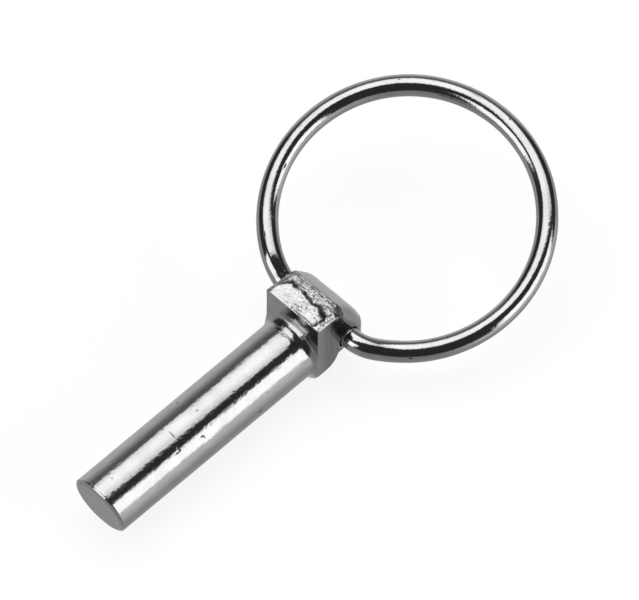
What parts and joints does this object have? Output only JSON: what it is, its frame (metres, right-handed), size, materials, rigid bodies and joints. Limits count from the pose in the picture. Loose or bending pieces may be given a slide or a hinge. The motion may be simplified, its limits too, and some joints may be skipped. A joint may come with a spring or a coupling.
{
  "type": "linch pin",
  "caption": "Linch pin: a round steel pin with a flat-sided, cross-drilled head and a spring-wire ring that swings over the shank to hold it.",
  "frame": {"origin": "on the pin's axis, where the parallel shank ends and the flare under the head begins", "axes": "+Y along the pin from its free end towards its head, +Z out of the flash strip on top of the head, +X out of the head's right flat"},
  "size_m": [0.0489, 0.0973, 0.0215],
  "materials": {
    "pin_plating": "bright zinc plate on forged steel, near mirror, pitted and dinged",
    "wire_plating": "bright zinc plate on drawn spring wire, near mirror"
  },
  "bodies": {
    "pin": {"forged_pin": "pin_plating"},
    "ring": {"spring_ring": "wire_plating"}
  },
  "joints": [
    {"name": "ring_swing", "type": "hinge", "parent": "pin", "child": "ring", "pos_m": [0, 0.0087, 0.0016], "axis": [1, 0, 0], "range_deg": [-181, 158.8]}
  ]
}
